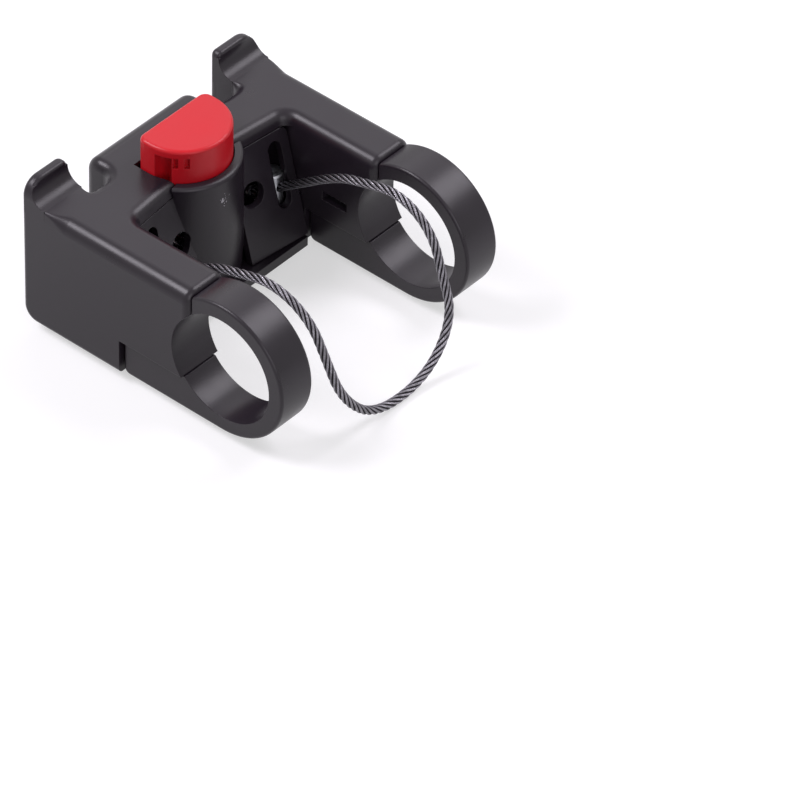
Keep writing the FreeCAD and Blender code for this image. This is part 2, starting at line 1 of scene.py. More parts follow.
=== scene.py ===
# %% [markdown]
# # Dressing a bicycle handlebar bag mount
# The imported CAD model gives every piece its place. This lesson adds what the
# eye needs on top of it: a camera, a wire rope with real strands, a coil
# spring, a few blended corners, soft light, and a finish for each material.

# %% Load the frame
import bpy
import bmesh
import json
import math
from mathutils import Matrix, Vector


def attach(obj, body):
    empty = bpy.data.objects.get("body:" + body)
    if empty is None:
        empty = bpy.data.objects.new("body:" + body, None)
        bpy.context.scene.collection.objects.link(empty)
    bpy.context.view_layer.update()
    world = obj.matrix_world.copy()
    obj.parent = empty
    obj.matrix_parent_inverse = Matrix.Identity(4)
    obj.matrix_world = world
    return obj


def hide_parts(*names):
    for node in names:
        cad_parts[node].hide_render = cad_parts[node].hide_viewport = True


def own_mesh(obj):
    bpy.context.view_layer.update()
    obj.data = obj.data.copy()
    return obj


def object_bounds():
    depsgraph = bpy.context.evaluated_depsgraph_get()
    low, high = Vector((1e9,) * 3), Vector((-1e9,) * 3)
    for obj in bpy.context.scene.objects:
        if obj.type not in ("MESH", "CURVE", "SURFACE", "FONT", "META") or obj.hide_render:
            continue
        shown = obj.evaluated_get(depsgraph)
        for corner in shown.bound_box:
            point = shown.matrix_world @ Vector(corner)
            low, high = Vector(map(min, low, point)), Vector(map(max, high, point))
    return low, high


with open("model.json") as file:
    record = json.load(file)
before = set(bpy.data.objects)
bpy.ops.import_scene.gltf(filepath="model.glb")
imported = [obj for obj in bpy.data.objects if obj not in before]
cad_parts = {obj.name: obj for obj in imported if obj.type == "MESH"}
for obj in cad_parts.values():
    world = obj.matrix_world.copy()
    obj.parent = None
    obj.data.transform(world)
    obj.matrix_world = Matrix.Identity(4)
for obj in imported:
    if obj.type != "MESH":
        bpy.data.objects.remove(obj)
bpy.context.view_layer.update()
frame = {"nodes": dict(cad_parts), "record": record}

# Blender works in metres. A length in millimetres is multiplied by MM.
MM = 0.001
nodes = frame["nodes"]

# %% [markdown]
# ## The camera's axes
# The photograph was taken from above the rider's left shoulder, from nearly
# two metres away with a long lens, so parallel edges stay almost parallel.
# A camera is placed by three axes: its right, its up, and the direction that
# points back at it from the object. Turning the view by hand would give them
# too. Here they come from the angles that a photographer would name, so that
# each angle can be corrected on its own.

# %% Find the camera's axes
AZIMUTH = math.radians(129.94)
ELEVATION = math.radians(41.11)
ROLL = math.radians(1.447)

level = Vector((math.cos(AZIMUTH), math.sin(AZIMUTH), 0))
flat_back = Vector((math.sin(AZIMUTH), -math.cos(AZIMUTH), 0))
back = flat_back * math.cos(ELEVATION) + Vector((0, 0, math.sin(ELEVATION)))
upright = back.cross(level)
right = level * math.cos(ROLL) + upright * math.sin(ROLL)
up = upright * math.cos(ROLL) - level * math.sin(ROLL)
print("towards the camera", [round(v, 3) for v in back])

# %% [markdown]
# ## Placing the camera
# A Blender camera looks along its own minus Z, with Y up. Its three axes are
# the columns of its matrix, and writing them there is simpler than working
# out three rotation angles. Two small offsets slide the object in the frame.

# %% Place the camera
DISTANCE = 1927.08 * MM
OFF_RIGHT = 17.686 * MM
OFF_UP = -28.033 * MM
LENS = 340.2
SENSOR = 36
NEAREST = 50 * MM

eye = right * OFF_RIGHT + up * OFF_UP + back * DISTANCE
camera_data = bpy.data.cameras.new("camera")
camera_data.sensor_width = SENSOR
camera_data.lens = LENS
camera_data.clip_start = NEAREST
camera = bpy.data.objects.new("camera", camera_data)
turn = Matrix((right, up, back)).transposed().to_4x4()
camera.matrix_world = Matrix.Translation(eye) @ turn
bpy.context.scene.collection.objects.link(camera)
bpy.context.scene.camera = camera
print("camera at", [round(v, 3) for v in eye])

# %% [markdown]
# ## The route of the wire rope
# The rope comes out of the housing through a slot, lies over the clamp bores,
# hangs as a loop and goes back in through the other slot. The solid rope is
# made of straight runs and arcs. A NURBS curve is only drawn towards its
# control points, so it keeps to the same path and turns more softly, as a
# stiff wire rope does. The two halves mirror each other, so only the ten
# points of one are written down, in millimetres.

# %% Write the route
HALF_ROUTE = [
    (24.1, -50.5, -10.75),
    (24.1, -34.0, 1.3),
    (24.1, -18.8, 12.45),
    (24.1, -9.05, 15.35),
    (24.1, -0.83, 17.80),
    (23.8, 7.59, 16.13),
    (23.26, 14.25, 10.71),
    (22.6, 17.6, 2.8),
    (21.6, 23.0, -9.9),
    (9.94, 24.2, -21.9),
]
ROUTE = HALF_ROUTE + [(-x, y, z) for x, y, z in reversed(HALF_ROUTE)]
print("control points", len(ROUTE))

# %% [markdown]
# ## From control points to a path
# Blender turns a curve without thickness into a mesh of one line, and that
# line's vertices are points on the curve. The curve's own bevel would make a
# round tube at once, but a tube has no strands, so only its points are taken.
# An order of three keeps the curve close to its control points.

# %% Read points from the curve
CURVE_ORDER = 3
CURVE_DETAIL = 32


def read_curve(points_mm):
    data = bpy.data.curves.new("rope route", "CURVE")
    data.dimensions = "3D"
    spline = data.splines.new("NURBS")
    spline.points.add(len(points_mm) - 1)
    for point, place in zip(spline.points, points_mm):
        point.co = (*[v * MM for v in place], 1.0)
    spline.order_u = CURVE_ORDER
    spline.use_endpoint_u = True
    spline.resolution_u = CURVE_DETAIL
    holder = bpy.data.objects.new("rope route", data)
    line = bpy.data.meshes.new_from_object(holder)
    path = [v.co.copy() for v in line.vertices]
    bpy.data.objects.remove(holder)
    bpy.data.meshes.remove(line)
    return path


curve_path = read_curve(ROUTE)
print("points on the curve", len(curve_path))

# %% [markdown]
# ## Even steps
# The line's vertices crowd together where the control points do. Strands laid
# on them would be squeezed in one place and stretched in another, so new
# points are set along the line at equal steps.

# %% Space the points evenly
ROPE_STEP = 0.55 * MM


def even_steps(path, step):
    spaced = [path[0]]
    carried = 0.0
    for start, end in zip(path, path[1:]):
        run = (end - start).length
        while run > 0 and carried + run >= step:
            start = start + (end - start) * ((step - carried) / run)
            spaced.append(start)
            run = (end - start).length
            carried = 0.0
        carried += run
    return spaced


rope_path = even_steps(curve_path, ROPE_STEP)
print("rope length mm", round(len(rope_path) * ROPE_STEP / MM, 1))

# %% [markdown]
# ## The rope's section
# Six strands lie round a straight core, so the rope's outline is a flower
# with six petals that turns as it travels. Seven round strands could be drawn
# one by one, but most of each would be hidden, and one outline shows the
# same. A strand's circle touches its two neighbours and the core, so its
# radius is a third of the rope's, and only its outer part is kept.

# %% Draw the rope's section
STRANDS = 6
PETAL_POINTS = 8
ROPE_R = 1.25 * MM
STRAND_R = ROPE_R / 3
# Two strands touch at 120 degrees from outwards. A petal stops just before.
HALF_PETAL = math.radians(118)


def petal_section():
    places = []
    for strand in range(STRANDS):
        middle = math.tau * strand / STRANDS
        for k in range(PETAL_POINTS):
            turn_in = HALF_PETAL * (2 * (k + 0.5) / PETAL_POINTS - 1)
            x = 2 * STRAND_R + STRAND_R * math.cos(turn_in)
            y = STRAND_R * math.sin(turn_in)
            places.append(Matrix.Rotation(middle, 3, "Z") @ Vector((x, y, 0)))
    return places


rope_section = petal_section()
print("points round the rope", len(rope_section))

# %% [markdown]
# ## Carrying a section along a path
# At each point of the path the section needs a place and a turn, and one
# matrix holds both. Its axes point to the side, over, and ahead. Each point
# takes the side direction of the point before and only leans it to fit the
# new direction, so the section never spins by itself. A fixed upward
# direction would fail where the path runs straight up.

# %% A frame for each point
def frames_along(path):
    frames = []
    side = Vector((1, 0, 0))
    for i, place in enumerate(path):
        before = path[max(i - 1, 0)]
        after = path[min(i + 1, len(path) - 1)]
        ahead = (after - before).normalized()
        side = (side - ahead * side.dot(ahead)).normalized()
        over = ahead.cross(side)
        turned = Matrix((side, over, ahead)).transposed().to_4x4()
        frames.append(Matrix.Translation(place) @ turned)
    return frames


print("frames along the rope", len(frames_along(rope_path)))

# %% [markdown]
# ## Growing a ring
# Extruding a ring of edges gives a second ring, joined to the first by new
# faces. That one operator grows every long piece of this lesson. When a piece
# is long enough, its two open ends are filled and its faces turned outwards.

# %% Grow, close and add
def extrude_ring(mesh, edges):
    grown = bmesh.ops.extrude_edge_only(mesh, edges=edges)["geom"]
    ring = [g for g in grown if isinstance(g, bmesh.types.BMVert)]
    return ring, [g for g in grown if isinstance(g, bmesh.types.BMEdge)]


def close_ends(mesh, edges):
    bmesh.ops.holes_fill(mesh, edges=edges)
    bmesh.ops.recalc_face_normals(mesh, faces=mesh.faces)
    for face in mesh.faces:
        face.smooth = True


def add_object(name, mesh):
    data = bpy.data.meshes.new(name)
    mesh.to_mesh(data)
    mesh.free()
    added = bpy.data.objects.new(name, data)
    bpy.context.scene.collection.objects.link(added)
    return added


# %% [markdown]
# ## Laying the rope
# The section starts as a bmesh circle whose points move onto the petals. Each
# step extrudes it, carries it to the next frame, and turns it by a share of
# the lay, the length in which a strand goes round once. Each point also keeps
# its place in a straightened rope as an attribute. The material reads that
# later, because a pattern in Object coordinates would cut across the strands.

# %% Lay a wire along a path
def lay_wire(name, path, section, step, lay):
    frames = frames_along(path)
    mesh = bmesh.new()
    straight = mesh.verts.layers.float_vector.new("straight")
    radius = section[0].length
    ring = bmesh.ops.create_circle(mesh, segments=len(section), radius=radius)["verts"]
    for vert, place in zip(ring, section):
        vert.co = place
        vert[straight] = place
    bmesh.ops.transform(mesh, matrix=frames[0], verts=ring)
    first_edges = list(mesh.edges)
    edges = first_edges
    twist = Matrix.Rotation(math.tau * step / lay, 4, "Z")
    for i in range(1, len(frames)):
        ring, edges = extrude_ring(mesh, edges)
        move = frames[i] @ twist @ frames[i - 1].inverted()
        bmesh.ops.transform(mesh, matrix=move, verts=ring)
        home = frames[i].inverted()
        for vert in ring:
            place = home @ vert.co
            vert[straight] = (place.x, place.y, i * step)
    close_ends(mesh, first_edges + edges)
    return add_object(name, mesh)


ROPE_LAY = 15.0 * MM
rope = lay_wire("wire_rope", rope_path, rope_section, ROPE_STEP, ROPE_LAY)
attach(rope, "mount")
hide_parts("steel_cable")
print("rope faces", len(rope.data.polygons))

# %% [markdown]
# ## The button's spring
# A coil spring stands between the housing's floor and the button's stem. A
# Screw modifier would draw one, but with the same pitch in all its turns. A
# real spring of this kind has a nearly closed turn at each end to stand on,
# so its helix is worked out point by point and climbs slowly there. The
# values in this cell are in millimetres.

# %% Draw the helix
SPRING_Y = -49.0
SPRING_FLOOR = -16.9
SPRING_TOP = 1.55
SPRING_R = 3.7
SPRING_WIRE_R = 0.45
SPRING_TURNS = 8
DEAD_TURNS = 1.0
DEAD_PITCH = 2.1 * SPRING_WIRE_R
COIL_STEPS = 40
LIVE_TURNS = SPRING_TURNS - 2 * DEAD_TURNS
LIVE_PITCH = (SPRING_TOP - SPRING_FLOOR - 2 * DEAD_TURNS * DEAD_PITCH) / LIVE_TURNS


def coil_path():
    path = []
    for k in range(SPRING_TURNS * COIL_STEPS + 1):
        turned = k / COIL_STEPS
        live = min(max(turned - DEAD_TURNS, 0), LIVE_TURNS)
        a = math.tau * turned
        x = SPRING_R * math.cos(a)
        y = SPRING_Y + SPRING_R * math.sin(a)
        z = SPRING_FLOOR + (turned - live) * DEAD_PITCH + live * LIVE_PITCH
        path.append(Vector((x, y, z)) * MM)
    return path


coil = coil_path()
print("points on the helix", len(coil))

# %% [markdown]
# ## Coiling the spring
# The function that lays the rope draws the spring too, with a round section
# and no twist.

# %% Coil the spring
WIRE_POINTS = 12

wire_section = [
    Matrix.Rotation(math.tau * k / WIRE_POINTS, 3, "Z") @ Vector((SPRING_WIRE_R * MM, 0, 0))
    for k in range(WIRE_POINTS)
]
coil_step = (coil[1] - coil[0]).length
spring = lay_wire("coil_spring", coil, wire_section, coil_step, math.inf)
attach(spring, "mount")
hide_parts("button_spring")
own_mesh(spring)
print("spring faces", len(spring.data.polygons))

# %% [markdown]
# ## The feet of the horns
# Each horn ends in a scoop that runs out on the arm. The arm's outer edge is
# well rounded there and the scoop's edge is nearly sharp, so a mould maker
# blends one into the other: the radius grows along the edge. The notch side
# has the same change round its corner. Bevelling the housing itself would
# change a CAD mesh, so a small piece fills each of these corners instead.
# Its section is a quarter round of the wanted radius between two flats,
# closed by a hidden heel inside the wall. The skin lies a few microns under
# the housing's faces, so the two never fight for the same place.

# %% The section of a blend
ARC_POINTS = 12
SKIN = 0.004
FLAT_REACH = 4.4
HEEL_DEPTH = 3.5
HEEL_DROP = 0.3
HEEL = [(1.2, 3.5), (2.2, 2.7), (3.3, 1.8), (4.5, 0.4)]


# Each point is a distance in from the side and a distance down from the top,
# in millimetres.
def corner_section(radius):
    section = [(max(FLAT_REACH, radius), SKIN)]
    for k in range(ARC_POINTS + 1):
        a = math.radians(90 * k / ARC_POINTS)
        inward = radius - radius * math.sin(a) + SKIN
        down = radius - radius * math.cos(a) + SKIN
        section.append((inward, down))
    return section + [(SKIN, max(HEEL_DEPTH, radius) + HEEL_DROP)] + HEEL


print("points round a blend", len(corner_section(1.0)))

# %% [markdown]
# ## Where the blends run
# The outer blend runs straight along the arm's side, so its ends are two
# values of Y. The inner one follows the notch's corner, which is an arc, so
# its ends are two angles in degrees. One small function for each turns a
# share of the run and a point of the section into a place.

# %% Find the blends' places
ARM_SIDE = 42.8
ARM_TOP = 18.8
OUTER_RUN = (-59.8, -50.5)
CORNER_X = 26.3
CORNER_Y = -59.5
CORNER_R = 2.5
INNER_RUN = (-6.0, 66.0)


def between(ends, t):
    return ends[0] + (ends[1] - ends[0]) * t


def outer_place(t, inward, down):
    return ARM_SIDE - inward, between(OUTER_RUN, t), ARM_TOP - down


def inner_place(t, inward, down):
    a = math.radians(between(INNER_RUN, t))
    reach = CORNER_R + inward
    return CORNER_X + reach * math.cos(a), CORNER_Y + reach * math.sin(a), ARM_TOP - down


print("outer blend from", outer_place(0, 0, 0), "to", outer_place(1, 0, 0))

# %% [markdown]
# ## Making the blends
# The radius eases from its first value to its last, so that neither end shows
# a kink. The piece grows as the rope does, by one extrusion for each row. An
# extrusion returns its points in no fixed order, so each finds its number
# through the edge that joins it to the row behind.

# %% Rows of points with a growing radius
BLEND_ROWS = 16


def blend_rows(side, place, radii):
    rows = []
    for row in range(BLEND_ROWS + 1):
        t = row / BLEND_ROWS
        radius = between(radii, t * t * (3 - 2 * t))
        spots = [place(t, inward, down) for inward, down in corner_section(radius)]
        rows.append([Vector((side * x, y, z)) * MM for x, y, z in spots])
    return rows


OUTER_R = (0.7, 4.2)
INNER_R = (0.5, 3.2)
print("rows in a blend", len(blend_rows(1, outer_place, OUTER_R)))

# %% Make the blends
SHARP_FROM = math.radians(35)


def blend_edge(name, side, place, radii):
    rows = blend_rows(side, place, radii)
    mesh = bmesh.new()
    ring = [mesh.verts.new(spot) for spot in rows[0]]
    first_edges = [mesh.edges.new(pair) for pair in zip(ring, ring[1:] + ring[:1])]
    edges = first_edges
    numbers = {vert: k for k, vert in enumerate(ring)}
    for spots in rows[1:]:
        ring, edges = extrude_ring(mesh, edges)
        moved = {}
        for vert in ring:
            behind = [edge.other_vert(vert) for edge in vert.link_edges]
            moved[vert] = next(numbers[other] for other in behind if other in numbers)
            vert.co = spots[moved[vert]]
        numbers = moved
    close_ends(mesh, first_edges + edges)
    for edge in mesh.edges:
        edge.smooth = edge.calc_face_angle() < SHARP_FROM
    piece = add_object(name, mesh)
    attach(piece, "mount")
    return piece


blends = [
    blend_edge("horn_foot_left", 1, outer_place, OUTER_R),
    blend_edge("horn_foot_right", -1, outer_place, OUTER_R),
    blend_edge("notch_edge_left", 1, inner_place, INNER_R),
    blend_edge("notch_edge_right", -1, inner_place, INNER_R),
]
print("blend faces", [len(blend.data.polygons) for blend in blends])

# %% [markdown]
# ## Colours
# A colour is written as the hex code that a screen shows. Blender reckons in
# linear light, so one function turns the code into linear values.

# %% One function for colours
def srgb(code):
    values = [int(code[i:i + 2], 16) / 255 for i in (1, 3, 5)]
    linear = [v / 12.92 if v <= 0.04045 else ((v + 0.055) / 1.055) ** 2.4 for v in values]
    return (*linear, 1.0)


print("mid grey is", [round(v, 3) for v in srgb("#808080")])

# %% [markdown]
# ## Shader nodes
# A finish is a small network of nodes. One function adds a node with its
# settings and fills its inputs. An input that is given another node's output
# is linked to it. Every material below is written with this one function.

# %% Materials and their nodes
def new_material(name):
    material = bpy.data.materials.new(name)
    material.use_nodes = True
    material.node_tree.nodes.clear()
    return material


def add_node(owner, kind, settings=None, inputs=None):
    node = owner.node_tree.nodes.new(kind)
    for name, value in (settings or {}).items():
        setattr(node, name, value)
    for name, value in (inputs or {}).items():
        if isinstance(value, bpy.types.NodeSocket):
            owner.node_tree.links.new(value, node.inputs[name])
        else:
            node.inputs[name].default_value = value
    return node


paper = new_material("white paper sweep")
print("first material", paper.name)

# %% [markdown]
# ## The white surround
# The camera sees white all round the object, and metal has to mirror it. A
# surround that is really that bright would flood the object with light. The
# Light Path node tells rays apart, so only what is seen, mirrored or looked
# at through glass turns white.

# %% One answer for all such rays
def seen_or_mirrored(owner):
    path = add_node(owner, "ShaderNodeLightPath")
    mirrored = add_node(owner, "ShaderNodeMath", {"operation": "MAXIMUM"}, {
        0: path.outputs["Is Glossy Ray"], 1: path.outputs["Is Transmission Ray"]})
    either = add_node(owner, "ShaderNodeMath", {"operation": "MAXIMUM"}, {
        0: path.outputs["Is Camera Ray"], 1: mirrored.outputs[0]})
    return either.outputs[0]


paper_seen = seen_or_mirrored(paper)
print("nodes in the paper", len(paper.node_tree.nodes))

# %% [markdown]
# ## The floor
# A product photograph stands on a sweep of white paper. A curved sweep is
# only needed for a short piece of paper. A plate of six metres does the same
# here, because its end melts into the white world behind it. It lies just
# under the lowest piece, with a gap that is too small to see.

# %% Lay the floor
FLOOR_HALF = 3.0
FLOOR_GAP = 0.2 * MM

low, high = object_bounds()
floor_place = (0, 0, low[2] - FLOOR_GAP)
floor_mesh = bmesh.new()
bmesh.ops.create_grid(floor_mesh, x_segments=1, y_segments=1, size=FLOOR_HALF)
bmesh.ops.translate(floor_mesh, verts=floor_mesh.verts, vec=floor_place)
floor = add_object("floor", floor_mesh)
floor.data.materials.append(paper)
print("floor at mm", round(floor_place[2] / MM, 2))

# %% [markdown]
# ## White paper
# The paper's own colour is a light grey, so that it throws little light up on
# the object's sides. A glow that only the camera and mirrors see lifts it to
# white, and the object's shadow stays on it. A wide, faint mottle in its grey
# is painted light: it stands for light that never falls quite evenly on a
# paper sweep.

# %% Paper
WHITE = srgb("#FFFFFF")
PAPER_GREY = (0.50, 0.52)
PAPER_GLOW = 0.55
MOTTLE = 1000 / 6

coords = add_node(paper, "ShaderNodeTexCoord")
# Painted light: a faint mottle of uneven light on the paper.
painted_light_mottle = add_node(paper, "ShaderNodeTexNoise", inputs={
    "Vector": coords.outputs["Object"], "Scale": 1 / (MOTTLE * MM)})
tint = add_node(paper, "ShaderNodeMapRange", inputs={
    "Value": painted_light_mottle.outputs["Fac"], "To Min": PAPER_GREY[0], "To Max": PAPER_GREY[1]})
diffuse = add_node(paper, "ShaderNodeBsdfDiffuse", inputs={"Color": tint.outputs["Result"]})
glow = add_node(paper, "ShaderNodeEmission", inputs={"Color": WHITE, "Strength": PAPER_GLOW})
glowing = add_node(paper, "ShaderNodeAddShader", inputs={
    0: diffuse.outputs[0], 1: glow.outputs[0]})
seen = add_node(paper, "ShaderNodeMixShader", inputs={
    "Fac": paper_seen, 1: diffuse.outputs[0], 2: glowing.outputs[0]})
add_node(paper, "ShaderNodeOutputMaterial", inputs={"Surface": seen.outputs[0]})
print("nodes in the paper", len(paper.node_tree.nodes))

# %% [markdown]
# ## The world
# The world lights every side of the object a little, so that no hollow turns
# black. It is dim for the object, and white for the camera and for mirrors. A
# picture of a studio is often used instead, but this script stands alone.

# %% World
WORLD_LIGHT = 0.18

world = bpy.data.worlds.new("studio")
world.use_nodes = True
world.node_tree.nodes.clear()
dim = add_node(world, "ShaderNodeBackground", inputs={
    "Color": srgb("#F4F3F8"), "Strength": WORLD_LIGHT})
white = add_node(world, "ShaderNodeBackground", inputs={"Color": WHITE, "Strength": 1.0})
shown = add_node(world, "ShaderNodeMixShader", inputs={
    "Fac": seen_or_mirrored(world), 1: dim.outputs[0], 2: white.outputs[0]})
add_node(world, "ShaderNodeOutputWorld", inputs={"Surface": shown.outputs[0]})
bpy.context.scene.world = world
bpy.context.scene.view_settings.view_transform = "Standard"
print("nodes in the world", len(world.node_tree.nodes))

# %% [markdown]
# ## Softboxes
# Dark nylon shows its shape by what it mirrors, so the lamps are placed by
# that. Each of four square lamps stands where one kind of surface mirrors it
# towards the camera. One on the bag's side draws the arms' long edges, and
# one behind draws the collars' tops. A weak one in front greys the flat tops,
# and one by the rider fills the faces that look back at the rider.

# %% Four lamps
LAMP_DISTANCE = 0.9
LAMP_COLOUR = srgb("#F8F3FC")[:3]
# Name, direction from the object, side in metres, power in watts.
LAMPS = [
    ("bag side softbox", (0.45, -0.45, 0.77), 0.4, 6.5),
    ("rear softbox", (-0.58, 0.25, 0.77), 0.45, 4.2),
    ("front softbox", (-0.58, -0.45, 0.68), 0.6, 1.2),
    ("rider side softbox", (0.42, 0.80, 0.43), 0.6, 2.2),
]


def add_softbox(name, toward, size, power):
    data = bpy.data.lights.new(name, "AREA")
    data.shape = "RECTANGLE"
    data.size = size
    data.size_y = size
    data.energy = power
    data.color = LAMP_COLOUR
    lamp = bpy.data.objects.new(name, data)
    aim = -Vector(toward).normalized()
    lamp.location = (Vector(low) + Vector(high)) / 2 - aim * LAMP_DISTANCE
    lamp.rotation_euler = aim.to_track_quat("-Z", "Y").to_euler()
    bpy.context.scene.collection.objects.link(lamp)
    return lamp


lamps = [add_softbox(*lamp) for lamp in LAMPS]
print("lamps", [lamp.name for lamp in lamps])

# %% [markdown]
# ## Pale flecks on the boss
# A few pale, ragged flecks are painted on the boss below the button. They
# could be painted on a picture, but noise that passes a high threshold gives
# the same ragged shapes, and stays sharp from any distance. Near one place
# the noise is lifted, and only there does it pass.

# %% Pale flecks
FLECK_PLACE = (1.6, -35.2, 11.1)
FLECK_REACH = 3.6
FLECK_LIFT = 0.3
FLECK_GRAIN = 0.9
FLECK_FROM = (0.77, 0.81)


def flecked(material, place, colour):
    offset = add_node(material, "ShaderNodeVectorMath", {"operation": "DISTANCE"}, {
        0: place, 1: [v * MM for v in FLECK_PLACE]})
    near = add_node(material, "ShaderNodeMapRange", {"clamp": True}, {
        "Value": offset.outputs["Value"], "From Min": 0.0, "From Max": FLECK_REACH * MM,
        "To Min": FLECK_LIFT, "To Max": 0.0})
    chips = add_node(material, "ShaderNodeTexNoise", inputs={
        "Vector": place, "Scale": 1 / (FLECK_GRAIN * MM), "Detail": 3.0, "Roughness": 0.6})
    lifted = add_node(material, "ShaderNodeMath", {"operation": "ADD"}, {
        0: near.outputs["Result"], 1: chips.outputs["Fac"]})
    fleck = add_node(material, "ShaderNodeMapRange", {"clamp": True}, {
        "Value": lifted.outputs[0], "From Min": FLECK_FROM[0], "From Max": FLECK_FROM[1]})
    # Pale flecks are painted into the colour near one place on the boss.
    mixed = add_node(material, "ShaderNodeMix", {"data_type": "RGBA"}, {
        "Factor": fleck.outputs["Result"], "A": colour, "B": srgb("#A9A7AB")})
    return mixed.outputs["Result"]


print("scrapes within mm", FLECK_REACH)

# %% [markdown]
# ## Moulded nylon
# The housing, the inner plate and the collars are glass-filled nylon from a
# spark-eroded mould. Such a mould leaves a fine even grain, so the surface
# scatters light: a matte dark grey with soft bright lines where edges turn.
# The grain is drawn at 0.35 mm, a little coarser than the real one, so that
# it shows. Its pits shade one another, so the specular level is held down. A
# wide noise shifts the colour and the roughness the way handling does. No
# mould keeps an edge quite sharp. Real bevels on every edge would cost many
# faces, so a Bevel node in the shader softens them instead.

# %% Nylon
NYLON_IOR = 1.53
PITTED_SPECULAR = 0.28
GRAIN = 0.35
HANDLING = 14
CLOUD_RANGE = (0.3, 0.7)
GLOSS_SPREAD = 0.05
SOFT_EDGE = 0.25


def moulded(name, dark, pale, rough, grain_depth, flecks=False):
    material = new_material(name)
    place = add_node(material, "ShaderNodeTexCoord").outputs["Object"]
    grain = add_node(material, "ShaderNodeTexNoise", inputs={
        "Vector": place, "Scale": 1 / (GRAIN * MM), "Detail": 3.0, "Roughness": 0.55})
    cloud = add_node(material, "ShaderNodeTexNoise", inputs={
        "Vector": place, "Scale": 1 / (HANDLING * MM), "Detail": 4.0, "Roughness": 0.6})
    mixed = add_node(material, "ShaderNodeMix", {"data_type": "RGBA"}, {
        "Factor": cloud.outputs["Fac"], "A": srgb(dark), "B": srgb(pale)})
    colour = mixed.outputs["Result"]
    if flecks:
        colour = flecked(material, place, colour)
    gloss = add_node(material, "ShaderNodeMapRange", inputs={
        "Value": cloud.outputs["Fac"], "From Min": CLOUD_RANGE[0], "From Max": CLOUD_RANGE[1],
        "To Min": rough - GLOSS_SPREAD, "To Max": rough + GLOSS_SPREAD})
    soft_edge = add_node(material, "ShaderNodeBevel", {"samples": 4}, {
        "Radius": SOFT_EDGE * MM})
    bump = add_node(material, "ShaderNodeBump", inputs={
        "Height": grain.outputs["Fac"], "Strength": 0.5, "Distance": grain_depth * MM,
        "Normal": soft_edge.outputs["Normal"]})
    shader = add_node(material, "ShaderNodeBsdfPrincipled", inputs={
        "Base Color": colour, "Roughness": gloss.outputs["Result"],
        "Normal": bump.outputs["Normal"], "IOR": NYLON_IOR,
        "Specular IOR Level": PITTED_SPECULAR})
    add_node(material, "ShaderNodeOutputMaterial", inputs={"Surface": shader.outputs["BSDF"]})
    return material


print("nylon grain mm", GRAIN)

# %% [markdown]
# ## Black and red
# The plate with the boss gets the same black as the housing, with the pale
# flecks added. The button is the same nylon in red, from a mould that is a
# little smoother. Its shallow grain and its colours, which lie close together,
# give the eye a clean, even red.

# %% Three nylons
BLACK = ("#1C171D", "#231D24", 0.32, 0.02)
RED = ("#C0121D", "#CA1A26", 0.36, 0.01)

black_nylon = moulded("moulded black nylon", *BLACK)
flecked_nylon = moulded("scraped black nylon", *BLACK, flecks=True)
red_nylon = moulded("moulded red nylon", *RED)
print("nylons", black_nylon.name, flecked_nylon.name, red_nylon.name)

# %% [markdown]
# ## Zinc, spring wire and aluminium
# Metals take their colour from what they mirror, so each only needs a base
# colour, a roughness and a fine grain, and one function makes all three. Zinc
# plating is dull, with clouds of about 0.8 mm, and tells the eye that the
# screws are plated. Drawn spring wire is smoother and brighter. The rope's
# end caps are pressed from soft aluminium, pale and dull. The marks on wire
# and caps are finer than a pixel, so they are drawn at 0.3 and 0.6 mm.

# %% Metals
PLATING_SPREAD = 0.07


def metal(name, dark, pale, rough, grain):
    material = new_material(name)
    place = add_node(material, "ShaderNodeTexCoord").outputs["Object"]
    cloud = add_node(material, "ShaderNodeTexNoise", inputs={
        "Vector": place, "Scale": 1 / (grain * MM), "Detail": 5.0, "Roughness": 0.65})
    colour = add_node(material, "ShaderNodeMix", {"data_type": "RGBA"}, {
        "Factor": cloud.outputs["Fac"], "A": srgb(dark), "B": srgb(pale)})
    gloss = add_node(material, "ShaderNodeMapRange", inputs={
        "Value": cloud.outputs["Fac"], "From Min": CLOUD_RANGE[0], "From Max": CLOUD_RANGE[1],
        "To Min": rough - PLATING_SPREAD, "To Max": rough + PLATING_SPREAD})
    bump = add_node(material, "ShaderNodeBump", inputs={
        "Height": cloud.outputs["Fac"], "Strength": 0.25, "Distance": 0.01 * MM})
    shader = add_node(material, "ShaderNodeBsdfPrincipled", inputs={
        "Base Color": colour.outputs["Result"], "Roughness": gloss.outputs["Result"],
        "Normal": bump.outputs["Normal"], "Metallic": 1.0})
    add_node(material, "ShaderNodeOutputMaterial", inputs={"Surface": shader.outputs["BSDF"]})
    return material


zinc = metal("zinc plated steel", "#8C8D92", "#B4B5B9", 0.38, 0.8)
spring_wire = metal("drawn spring steel", "#7E7E84", "#A8A8AE", 0.28, 0.3)
pressed_aluminium = metal("pressed soft aluminium", "#A9A9AD", "#C6C6CA", 0.45, 0.6)
print("metals", zinc.name, spring_wire.name, pressed_aluminium.name)

# %% [markdown]
# ## The wires in a strand
# Each strand is itself made of drawn wires. In a rope of regular lay they run
# nearly along the rope, so fine lines in the straightened rope's own angle
# give them. As geometry they would cost millions of faces for something that
# is hardly wider than a pixel. About five wires show on each strand.

# %% Lines for the wires
WIRES_SHOWN = 5.0


def wire_lines(material, parts):
    angle = add_node(material, "ShaderNodeMath", {"operation": "ARCTAN2"}, {
        0: parts.outputs["Y"], 1: parts.outputs["X"]})
    turns = add_node(material, "ShaderNodeMath", {"operation": "MULTIPLY"}, {
        0: angle.outputs[0], 1: WIRES_SHOWN * STRANDS})
    wires = add_node(material, "ShaderNodeMath", {"operation": "SINE"}, {0: turns.outputs[0]})
    return wires.outputs[0]


print("wires shown round the rope", WIRES_SHOWN * STRANDS)
